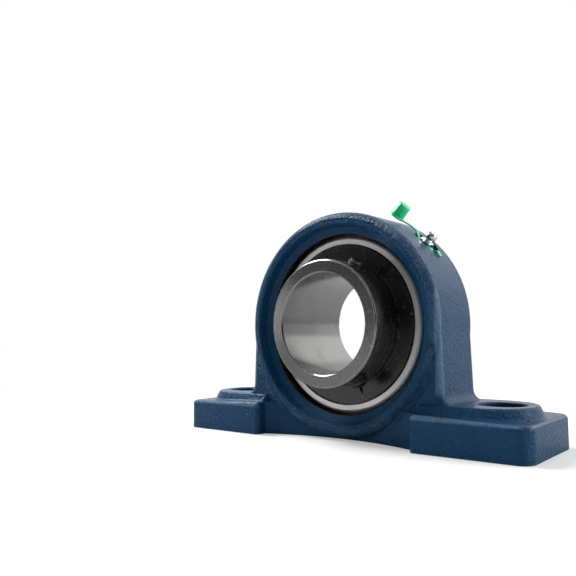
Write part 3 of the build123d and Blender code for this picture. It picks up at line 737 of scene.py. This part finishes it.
def loft_rings(shape, rings, base, axis):
    """Add (height, radius) rings to a bmesh; a radius may be a function of the angle, and 0
    is a centre point. Without centre points the last ring joins the first."""
    side = along_shaft
    other = axis.cross(side)
    loops = []
    for height, radius in rings:
        centre = base + axis * height
        if radius == 0:
            loops.append([shape.verts.new(centre)])
            continue
        loop = []
        for step in range(RING_POINTS):
            angle = 2 * math.pi * step / RING_POINTS
            size = radius(angle) if callable(radius) else radius
            turned_to = side * math.cos(angle) + other * math.sin(angle)
            loop.append(shape.verts.new(centre + turned_to * size))
        loops.append(loop)
    closed = len(loops[0]) > 1
    pairs = list(zip(loops, loops[1:])) + ([(loops[-1], loops[0])] if closed else [])
    for first, second in pairs:
        for step in range(RING_POINTS):
            corner = [first[step % len(first)], first[(step + 1) % len(first)],
                      second[(step + 1) % len(second)], second[step % len(second)]]
            shape.faces.new(list(dict.fromkeys(corner)))


def finish_mesh(name, shape, finish, smooth_angle=35):
    """Turn a bmesh into an object that is smooth except across sharp edges."""
    bmesh.ops.recalc_face_normals(shape, faces=shape.faces)
    for face in shape.faces:
        face.smooth = True
    for edge in shape.edges:
        edge.smooth = edge.calc_face_angle(0) < math.radians(smooth_angle)
    data = bpy.data.meshes.new(name)
    shape.to_mesh(data)
    shape.free()
    data.materials.append(finish)
    made = bpy.data.objects.new(name, data)
    bpy.context.scene.collection.objects.link(made)
    return made


print("loft ready, points in a ring:", RING_POINTS)

# %% [markdown]
# ## Set screws
# Two M10 set screws hold the ring on the shaft. The thread is a ring radius that depends on
# the angle and the height together, which is just what a helix is. Its ends run out under a
# chamfer. The outer end has a 5 mm hexagon socket, the inner end the hollow cup point.

# %% Threaded set screws
SCREW_RADIUS = 0.00494
SCREW_LENGTH = 0.010
SCREW_PITCH = 0.00125
THREAD_DEPTH = 0.0007
SCREW_CHAMFER = 0.001
SOCKET_FLATS = 0.005
STEPS_PER_PITCH = 10
SOCKET_MOUTH = 0.0031
SOCKET_BEVEL = 0.00025
SOCKET_DEPTH = 0.005
DRILL_TIP = 0.0058
CUP_DEPTH = 0.0013
CUP_FLOOR = 0.0010
CUP_MOUTH = 0.0026
SCREW_INNER_END = 0.028
SCREW_ROW = -0.0244
SCREW_ANGLES = {"set_screw_1": 61, "set_screw_2": -59}
CREST_SHARE = 0.12
FLANK_SHARE = 0.76


def thread_radius(height):
    """Radius of the thread at this height, as a function of the angle."""
    limit = SCREW_RADIUS - SCREW_CHAMFER + min(height, SCREW_LENGTH - height)

    def at(angle):
        turns = height / SCREW_PITCH - angle / (2 * math.pi)
        wave = abs(2 * (turns % 1) - 1)
        groove = THREAD_DEPTH * min(1, max(0, (wave - CREST_SHARE) / FLANK_SHARE))
        return min(SCREW_RADIUS - groove, limit)

    return at


def hexagon_socket(angle):
    """Hexagon socket of the screw."""
    return hexagon_radius(angle, SOCKET_FLATS)


screw_rings = [(CUP_DEPTH, 0), (CUP_DEPTH, CUP_FLOOR), (0.0, CUP_MOUTH)]
steps = round(SCREW_LENGTH / SCREW_PITCH * STEPS_PER_PITCH)
for step in range(steps + 1):
    height = SCREW_LENGTH * step / steps
    screw_rings.append((height, thread_radius(height)))
screw_rings += [
    (SCREW_LENGTH, SOCKET_MOUTH), (SCREW_LENGTH - SOCKET_BEVEL, hexagon_socket),
    (SCREW_LENGTH - SOCKET_DEPTH, hexagon_socket), (SCREW_LENGTH - DRILL_TIP, 0),
]

for name, angle in SCREW_ANGLES.items():
    foot = shaft_centre + radial(angle) * SCREW_INNER_END + along_shaft * SCREW_ROW
    shape = bmesh.new()
    loft_rings(shape, screw_rings, foot, radial(angle))
    screw = finish_mesh("threaded_" + name, shape, black_oxide)
    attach(screw, name)
    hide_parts(name)
    print(screw.name, len(screw.data.vertices), "points")

# %% [markdown]
# ## Grease nipple
# The nipple screws into the barrel at 45 degrees above the horizontal. Above its hexagon it
# narrows to a neck, and swells to the round head that a grease gun's coupler grips. The
# ring list goes up the outside and down the bore, so the check ball and its spring sit in a
# real chamber. The hexagon's corners are cut back by a cone. The thread is plain grooves,
# because it is hidden in the casting. Heights are counted from the shaft's axis.

# %% Nipple
NIPPLE_ANGLE = 45
NIPPLE_ROW = 0.005
NIPPLE_FLATS = 0.007
UNCUT_RADIUS = 0.0042
CUT_RADIUS = 0.0037
THREAD_RADIUS = 0.00295
GROOVE_DEPTH = 0.0003
THREAD_START = 0.0550
THREAD_STEP = 0.00022
THREAD_RINGS = 23
HEAD_RADIUS = 0.00325
HEAD_CENTRE = 0.0659
BORE_RADIUS = 0.0008
CHAMBER_RADIUS = 0.00125
nipple_axis = radial(NIPPLE_ANGLE)
nipple_centre = shaft_centre + along_shaft * NIPPLE_ROW


def chamfered_hexagon(cone_radius):
    """Hexagon of 7 mm across flats, cut back to a cone at its corners."""
    return lambda angle: min(hexagon_radius(angle, NIPPLE_FLATS), cone_radius)


nipple_rings = [(0.0546, BORE_RADIUS), (0.0546, 0.00255), (THREAD_START, THREAD_RADIUS)]
for step in range(THREAD_RINGS):
    height = THREAD_START + THREAD_STEP * step
    groove = GROOVE_DEPTH * (step % 4 in (2, 3))
    nipple_rings.append((height, THREAD_RADIUS - groove))
nipple_rings += [
    (0.0607, THREAD_RADIUS),
    (0.0607, chamfered_hexagon(CUT_RADIUS)), (0.0610, chamfered_hexagon(UNCUT_RADIUS)),
    (0.0627, chamfered_hexagon(UNCUT_RADIUS)), (0.0630, chamfered_hexagon(CUT_RADIUS)),
    (0.0630, 0.0028), (0.0631, 0.0025), (0.0633, 0.0023),
]
for degrees in range(-45, 46, 6):
    angle = math.radians(degrees)
    height = HEAD_CENTRE + HEAD_RADIUS * math.sin(angle)
    nipple_rings.append((height, HEAD_RADIUS * math.cos(angle)))
nipple_rings += [
    (0.0683, 0.0021), (0.0683, 0.0010), (0.0682, BORE_RADIUS), (0.0677, BORE_RADIUS),
    (0.0677, CHAMBER_RADIUS), (0.0615, CHAMBER_RADIUS), (0.0615, BORE_RADIUS),
]
shape = bmesh.new()
loft_rings(shape, nipple_rings, nipple_centre, nipple_axis)
nipple = finish_mesh("nipple_body", shape, zinc_plating)
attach(nipple, "housing")
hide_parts("grease_nipple")
print(nipple.name, len(nipple.data.vertices), "points")

# %% [markdown]
# ## Ring and tail of the strap
# The cap hangs on a strap whose ring is clamped under the nipple's hexagon. A short barbed
# tail leaves the ring on the other side and climbs over the rim of the nipple's seat. Both
# are flat bands, so one helper sweeps a rounded section along a smooth line. The barbs are
# places where the section is wider.

# %% A flat band along a smooth line
strap_direction = radial(NIPPLE_ANGLE + 90)
strap_side = nipple_axis.cross(strap_direction)
HALF_WIDTH = 0.0012
SHEET = 0.0008
BARB = 0.0004
SECTION_POINTS = 16
SECTION_POWER = 0.35
ROUTE_STEPS = 8


def squared(value):
    """Push a sine or cosine outwards, which turns a circle into a rounded rectangle."""
    return math.copysign(abs(value) ** SECTION_POWER, value)


def strap_point(along, height):
    """A point given along the strap and above the shaft's axis."""
    return nipple_centre + strap_direction * along + nipple_axis * height


def smooth_route(points):
    """Points of a Catmull-Rom curve through the given points."""
    first = points[0] * 2 - points[1]
    last = points[-1] * 2 - points[-2]
    ends = [first] + points + [last]
    route = []
    for number in range(1, len(ends) - 2):
        a, b, c, d = ends[number - 1:number + 3]
        for step in range(ROUTE_STEPS):
            t = step / ROUTE_STEPS
            route.append(0.5 * (2 * b + (c - a) * t + (2 * a - 5 * b + 4 * c - d) * t**2
                                + (3 * b - a - 3 * c + d) * t**3))
    return route + [points[-1]]


def sweep_band(shape, route, barbs):
    """Add a flat band with rounded edges to a bmesh; barbs are numbers of points."""
    sections = []
    for number, point in enumerate(route):
        before = route[max(number - 1, 0)]
        after = route[min(number + 1, len(route) - 1)]
        lift = strap_side.cross((after - before).normalized())
        half = HALF_WIDTH + (BARB if number in barbs else 0)
        section = []
        for step in range(SECTION_POINTS):
            angle = 2 * math.pi * (step + 0.5) / SECTION_POINTS
            out = half * squared(math.cos(angle))
            up = SHEET / 2 * squared(math.sin(angle))
            section.append(shape.verts.new(point + strap_side * out + lift * up))
        sections.append(section)
    for first, second in zip(sections, sections[1:]):
        for step in range(SECTION_POINTS):
            after = (step + 1) % SECTION_POINTS
            shape.faces.new([first[step], first[after], second[after], second[step]])
    shape.faces.new(sections[0])
    shape.faces.new(sections[-1])


print("strap runs towards", [round(value, 3) for value in strap_direction])

# %% Clamped ring with its tail
TAIL_BARBS = (12, 17, 21)

ring_rings = [
    (0.0, 0.0032), (0.0, 0.00535), (0.00015, 0.0055), (0.00065, 0.0055), (0.0008, 0.00535),
    (0.0008, 0.0032), (0.0007, 0.00305), (0.0001, 0.00305),
]
shape = bmesh.new()
loft_rings(shape, ring_rings, strap_point(0, 0.0599), nipple_axis)
tail_route = smooth_route([
    strap_point(-0.0047, 0.0603), strap_point(-0.0064, 0.06095), strap_point(-0.0086, 0.0625),
    strap_point(-0.0115, 0.0617),
])
sweep_band(shape, tail_route, TAIL_BARBS)
clamped_ring = finish_mesh("strap_ring", shape, green_plastic, smooth_angle=60)
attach(clamped_ring, "housing")
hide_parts("cap_ring")
print(clamped_ring.name, len(clamped_ring.data.vertices), "points")

# %% [markdown]
# ## Cap
# The cap is a soft thimble that snaps over the nipple's head. It has a thin flange at its
# mouth, slightly conical walls and four fine ribs that give a grip. It is lofted from
# rings too: up the outside, over the end and down into the cavity.

# %% Cap
CAP_PLACE = 0.0249
CAP_MOUTH = 0.0603
RIB_COUNT = 4
RIB_TURN = 0.6
RIB_HEIGHT = 0.00020
RIB_SHARPNESS = 40
WALL_BELOW_RIB = 0.00012
cap_base = strap_point(CAP_PLACE, CAP_MOUTH)


def ribbed(radius):
    """Round wall with four low, narrow ribs."""

    def at(angle):
        crest = max(0, math.cos(RIB_COUNT * angle + RIB_TURN)) ** RIB_SHARPNESS
        return radius - WALL_BELOW_RIB + RIB_HEIGHT * crest

    return at


cap_rings = [
    (0.0068, 0), (0.0068, 0.0029), (0.0064, 0.0033), (0.0006, 0.0033), (0.0, 0.0036),
    (0.0, 0.0042), (0.00015, 0.0044), (0.00105, 0.0044), (0.0012, 0.00425),
    (0.0012, ribbed(0.0041)), (0.0016, ribbed(0.0041)), (0.0070, ribbed(0.0039)),
    (0.0077, ribbed(0.00383)), (0.0080, 0.0036), (0.0082, 0.0034), (0.0084, 0.0031),
    (0.0084, 0.0016), (0.0083, 0.0014), (0.0083, 0),
]
shape = bmesh.new()
loft_rings(shape, cap_rings, cap_base, nipple_axis)
grease_cap = finish_mesh("grease_cap", shape, green_plastic, smooth_angle=50)
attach(grease_cap, "nipple_cap")
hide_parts("nipple_cap")
print(grease_cap.name, len(grease_cap.data.vertices), "points")

# %% [markdown]
# ## Strap
# The strap is a flat band that runs from the clamped ring to the cap. It is swept along a
# smooth curve, with a rounded section and a few barbs on its edge.

# %% Strap
STRAP_BARBS = (13, 18, 22, 26)

strap_route = smooth_route([
    strap_point(0.0050, 0.0603), strap_point(0.0070, 0.0614), strap_point(0.0092, 0.0626),
    strap_point(0.0145, 0.0623), strap_point(0.0180, 0.0616), strap_point(0.0213, 0.0607),
])
shape = bmesh.new()
sweep_band(shape, strap_route, STRAP_BARBS)
strap = finish_mesh("cap_strap", shape, green_plastic, smooth_angle=60)
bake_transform(strap)
print(strap.name, len(strap.data.vertices), "points")

# %% [markdown]
# ## Floor and white surroundings
# The floor is a plain pale disc. Seen by the camera it is lifted to near white and keeps
# the object's shadow. Further out it fades to pure white, so no horizon shows. The world is
# white for the camera, and for reflections it is white behind the object and dimmer on the
# camera's side, as in a studio with a white sweep, which gives metal something to mirror.
# All its other light is an even, dim grey.

# %% Floor
FLOOR_RADIUS = 3.0
FLOOR_DROP = 0.0002
FLOOR_LIFT = 0.36
FLOOR_FADE = (0.22, 0.5)
FLOOR_GREY = (0.60, 0.60, 0.60, 1)
FLOOR_PALE = (0.64, 0.64, 0.64, 1)
WHITE = (1, 1, 1, 1)

floor_shape = bmesh.new()
bmesh.ops.create_circle(floor_shape, cap_ends=True, segments=96, radius=FLOOR_RADIUS)
floor_data = bpy.data.meshes.new("floor")
floor_shape.to_mesh(floor_data)
floor_shape.free()
floor = bpy.data.objects.new("floor", floor_data)
bpy.context.scene.collection.objects.link(floor)
floor.location.z = -FLOOR_DROP

floor_material = bpy.data.materials.new("pale floor")
floor_material.use_nodes = True
tree = floor_material.node_tree
tree.nodes.clear()
place = node(tree, "TexCoord").outputs["Object"]
grain = noise(tree, place, scale=40, detail=2.0, roughness=0.5)
pale = blend_colours(tree, grain, FLOOR_GREY, FLOOR_PALE)
matt = node(tree, "BsdfDiffuse", {"Color": pale}).outputs[0]
seen = node(tree, "LightPath").outputs["Is Camera Ray"]
glow = node(tree, "Emission", {"Color": WHITE, "Strength": multiply(tree, seen, FLOOR_LIFT)})
lifted = node(tree, "AddShader", {0: matt, 1: glow.outputs[0]}).outputs[0]
white = node(tree, "Emission", {"Color": WHITE, "Strength": 1.0}).outputs[0]
distance = node(tree, "VectorMath", {0: place}, operation="LENGTH").outputs["Value"]
far = multiply(tree, mask_between(tree, distance, *FLOOR_FADE), seen)
surface = node(tree, "MixShader", {0: far, 1: lifted, 2: white}).outputs[0]
tree.links.new(surface, node(tree, "OutputMaterial").inputs["Surface"])
floor_data.materials.append(floor_material)
print("floor ready")

# %% World
FRONT_LEVEL = 0.03
OVERHEAD_LEVEL = 0.4
AMBIENT_LEVEL = 0.25
TOWARDS_BACK = (-0.3, 0.4)
TOWARDS_TOP = (0.2, 0.75)

world = bpy.data.worlds.new("studio")
bpy.context.scene.world = world
world.use_nodes = True
tree = world.node_tree
tree.nodes.clear()
rays = node(tree, "LightPath").outputs
toward = node(tree, "SeparateXYZ", {0: node(tree, "TexCoord").outputs["Generated"]}).outputs
overhead = mask_between(tree, toward["Z"], *TOWARDS_TOP)
behind = mask_between(tree, toward["Y"], *TOWARDS_BACK)
sweep = multiply_add(tree, behind, factor=1 - FRONT_LEVEL, added=FRONT_LEVEL)
mirrored = calculate(tree, "MAXIMUM", sweep, multiply(tree, overhead, OVERHEAD_LEVEL))
shiny = calculate(tree, "MAXIMUM", rays["Is Glossy Ray"], rays["Is Transmission Ray"])
ambient = node(tree, "MapRange", {"Value": shiny, "To Min": AMBIENT_LEVEL, "To Max": mirrored})
level = node(
    tree, "MapRange",
    {"Value": rays["Is Camera Ray"], "To Min": ambient.outputs[0], "To Max": 1.0},
)
sky = node(tree, "Background", {"Color": WHITE, "Strength": level.outputs[0]})
tree.links.new(sky.outputs[0], node(tree, "OutputWorld").inputs["Surface"])
print("world ready")

# %% [markdown]
# ## Studio light
# Four soft boxes do the work. One above and to the left lights the top of the barrel and
# the feet's top edges. A very large one, high behind on the right, makes the block's sides
# paler than its front. A weak one at the left is mirrored by the turned faces, and one low
# on the right lifts the right foot's end.

# %% Soft boxes
def soft_box(name, place, aim, width, height, power):
    """Area light at a place, turned towards a point."""
    data = bpy.data.lights.new(name, "AREA")
    data.shape = "RECTANGLE"
    data.size = width
    data.size_y = height
    data.energy = power
    lamp = bpy.data.objects.new(name, data)
    lamp.location = place
    lamp.rotation_euler = (Vector(aim) - Vector(place)).to_track_quat("-Z", "Y").to_euler()
    bpy.context.scene.collection.objects.link(lamp)
    print(name, power, "W")


BARREL = (0, 0, 0.06)
soft_box(
    "top left box", place=(-0.62, -0.04, 0.78), aim=BARREL, width=0.5, height=0.4, power=12.5
)
soft_box(
    "back right box", place=(0.75, 0.85, 1.15), aim=(0.03, 0, 0.06),
    width=2.4, height=1.6, power=13,
)
soft_box(
    "left box", place=(-0.88, -0.60, 0.13), aim=BARREL, width=0.25, height=0.35, power=1.6
)
soft_box("right box", place=(1.00, 0.32, 0.28), aim=BARREL, width=0.4, height=0.5, power=5)
